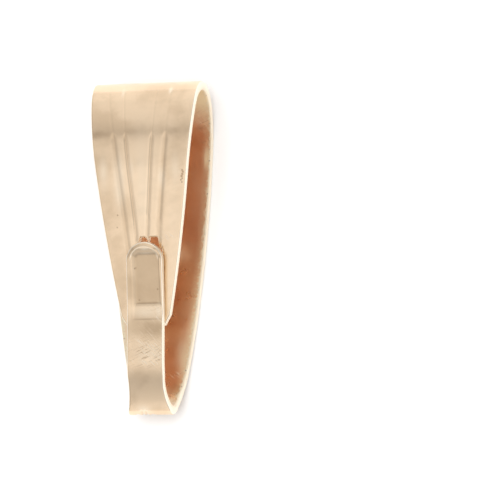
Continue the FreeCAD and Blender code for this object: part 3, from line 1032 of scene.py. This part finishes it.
class BAIL_OT_strip(bpy.types.Operator):
    """Make the bent strip and put it in the CAD node's place"""

    bl_idname = "bail.strip"
    bl_label = "Bail strip"

    def execute(self, context):
        settings = context.scene.bail_strip
        course = Course(settings.flap_rise)
        sizes = (settings.sheet, settings.edge_radius, settings.recess_depth, settings.bump_height)
        blank = Blank(course, *sizes)
        line = course_object(course)
        material = metal(context.scene.bail_metal, pit_places(course))
        data = formed(blank.mesh("bail_blank"), line, settings, material)
        bpy.data.objects.remove(line)
        if len(data.vertices) == 0:
            raise RuntimeError("the strip came out empty")
        data.name = PIECE
        data.polygons.foreach_set("use_smooth", [True] * len(data.polygons))
        data.set_sharp_from_angle(angle=settings.smooth_below)
        for k in range(len(GROOVES)):
            data.attributes.remove(data.attributes[f"groove_{k + 1}"])
        piece = bpy.data.objects.new(PIECE, data)
        context.scene.collection.objects.link(piece)
        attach(piece, BODY)
        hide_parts(CAD_NODE)
        return {"FINISHED"}


def plain_material(name, colour, roughness):
    material = bpy.data.materials.new(name)
    material.use_nodes = True
    shader = material.node_tree.nodes["Principled BSDF"]
    shader.inputs["Base Color"].default_value = (*colour, 1)
    shader.inputs["Roughness"].default_value = roughness
    shader.inputs["Specular IOR Level"].default_value = 0.0
    return material


# Brightness of the studio by direction: position from -1 to 1, brightness
TENT_ALONG_Y = (
    (-1.0, 1.1), (-0.95, 1.02), (-0.83, 0.72), (-0.68, 0.62), (-0.55, 0.58), (-0.43, 0.72),
    (-0.32, 0.92), (-0.19, 1.06), (-0.08, 0.88), (0.10, 0.86), (0.19, 0.84), (0.25, 0.74),
    (0.30, 0.60), (0.37, 0.72), (0.45, 0.84), (0.63, 0.92), (0.85, 1.0), (1.0, 1.05),
)
TENT_ALONG_X = (
    (-1.0, 1.25), (-0.93, 1.0), (-0.82, 0.74), (-0.6, 0.80), (-0.38, 0.94), (-0.27, 0.97), (-0.1, 1.0),
    (0.15, 1.04), (0.32, 1.04), (0.48, 0.88), (0.62, 0.62), (0.78, 0.80), (0.92, 1.15), (1.0, 1.2),
)
FLOOR_HALF = 0.6
LAMP_HEIGHT = 0.6
IMAGE_PIXELS = 500


def tent_ramp(tree, source, stops):
    """Brightness by one part of the direction."""
    share = math_node(tree, "MULTIPLY_ADD", source, 0.5, 0.5)
    ramp = add_node(tree, "ShaderNodeValToRGB", {0: share})
    ramp.color_ramp.interpolation = "EASE"
    elements = ramp.color_ramp.elements
    for element, (position, value) in zip((elements[0], elements[1]), (stops[0], stops[-1])):
        element.position = (position + 1) / 2
        element.color = (value, value, value, 1)
    for position, value in stops[1:-1]:
        element = elements.new((position + 1) / 2)
        element.color = (value, value, value, 1)
    return ramp.outputs[0]


def studio_world():
    """A pale tent round the object, a little brighter and darker by direction."""
    world = bpy.data.worlds.new("studio")
    world.use_nodes = True
    tree = world.node_tree
    outward = add_node(tree, "ShaderNodeTexCoord").outputs["Generated"]
    direction = add_node(tree, "ShaderNodeSeparateXYZ", {0: outward}).outputs
    along_y = tent_ramp(tree, direction["Y"], TENT_ALONG_Y)
    along_x = tent_ramp(tree, direction["X"], TENT_ALONG_X)
    background = tree.nodes["Background"].inputs
    tree.links.new(math_node(tree, "MULTIPLY", along_y, along_x), background["Strength"])
    background["Color"].default_value = (1, 1, 1, 1)
    return world


class BAIL_OT_stage(bpy.types.Operator):
    """Make the floor, the studio light and the camera"""

    bl_idname = "bail.stage"
    bl_label = "Bail stage"

    def execute(self, context):
        scene = context.scene
        settings = scene.bail_stage
        data = bpy.data.meshes.new("floor")
        corners = [(x * FLOOR_HALF, y * FLOOR_HALF, 0) for x, y in ((-1, -1), (1, -1), (1, 1), (-1, 1))]
        data.from_pydata(corners, [], [(0, 1, 2, 3)])
        data.materials.append(plain_material("floor_paper", (0.95, 0.95, 0.95), 1.0))
        floor = bpy.data.objects.new("floor", data)
        scene.collection.objects.link(floor)
        scene.world = studio_world()
        lamp = bpy.data.lights.new("fill", "AREA")
        lamp.shape = "DISK"
        lamp.size = LAMP_HEIGHT
        lamp.energy = settings.floor_fill
        fill = bpy.data.objects.new("fill", lamp)
        fill.location = (0, 0, LAMP_HEIGHT)
        fill.visible_glossy = False
        scene.collection.objects.link(fill)
        scene.view_settings.view_transform = "Standard"
        self.add_camera(scene, settings)
        return {"FINISHED"}

    def add_camera(self, scene, settings):
        """The camera whose picture has the bail's middle at its place in the photo."""
        data = bpy.data.cameras.new("camera")
        data.sensor_width = 36.0
        focal = settings.scale * settings.distance / MM
        data.lens = focal * data.sensor_width / IMAGE_PIXELS
        camera = bpy.data.objects.new("camera", data)
        scene.collection.objects.link(camera)
        yaw, pitch = settings.yaw, settings.pitch
        right = Vector((math.cos(yaw), 0, -math.sin(yaw)))
        across = Vector((math.sin(yaw), 0, math.cos(yaw)))
        up = Vector((0, math.cos(pitch), 0)) + across * math.sin(pitch)
        back = across * math.cos(pitch) - Vector((0, math.sin(pitch), 0))
        middle = Vector((0, 0, settings.middle_z))
        place = middle + back * settings.distance
        rolled_right = right * math.cos(settings.roll) - up * math.sin(settings.roll)
        rolled_up = right * math.sin(settings.roll) + up * math.cos(settings.roll)
        off_x = (IMAGE_PIXELS / 2 - settings.image_x) / focal
        off_y = (settings.image_y - IMAGE_PIXELS / 2) / focal
        aim = (-back + rolled_right * off_x + rolled_up * off_y).normalized()
        true_right = aim.cross(rolled_up).normalized()
        true_up = true_right.cross(aim)
        turn = Matrix((true_right, true_up, -aim)).transposed()
        camera.matrix_world = Matrix.Translation(place) @ turn.to_4x4()
        data.clip_start, data.clip_end = 0.001, 5.0
        scene.camera = camera


class BAIL_PT_panel(bpy.types.Panel):
    """Settings of the strip, its metal and the stage, and the two operators"""

    bl_label = "Snap bail"
    bl_idname = "BAIL_PT_panel"
    bl_space_type = "VIEW_3D"
    bl_region_type = "UI"
    bl_category = "Snap bail"

    def draw(self, context):
        scene = context.scene
        for group in (scene.bail_strip, scene.bail_metal, scene.bail_stage):
            box = self.layout.box()
            for name in group.bl_rna.properties.keys():
                if name not in ("rna_type", "name"):
                    box.prop(group, name)
        self.layout.operator("bail.strip")
        self.layout.operator("bail.stage")


CLASSES = (
    BailStripSettings, BailMetalSettings, BailStageSettings,
    BAIL_OT_strip, BAIL_OT_stage, BAIL_PT_panel,
)


def register():
    for kind in CLASSES:
        bpy.utils.register_class(kind)
    bpy.types.Scene.bail_strip = PointerProperty(type=BailStripSettings)
    bpy.types.Scene.bail_metal = PointerProperty(type=BailMetalSettings)
    bpy.types.Scene.bail_stage = PointerProperty(type=BailStageSettings)


def unregister():
    for name in ("bail_strip", "bail_metal", "bail_stage"):
        delattr(bpy.types.Scene, name)
    for kind in reversed(CLASSES):
        bpy.utils.unregister_class(kind)


def main():
    register()
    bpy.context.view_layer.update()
    bpy.ops.bail.strip()
    bpy.ops.bail.stage()


if __name__ == "__main__":
    main()
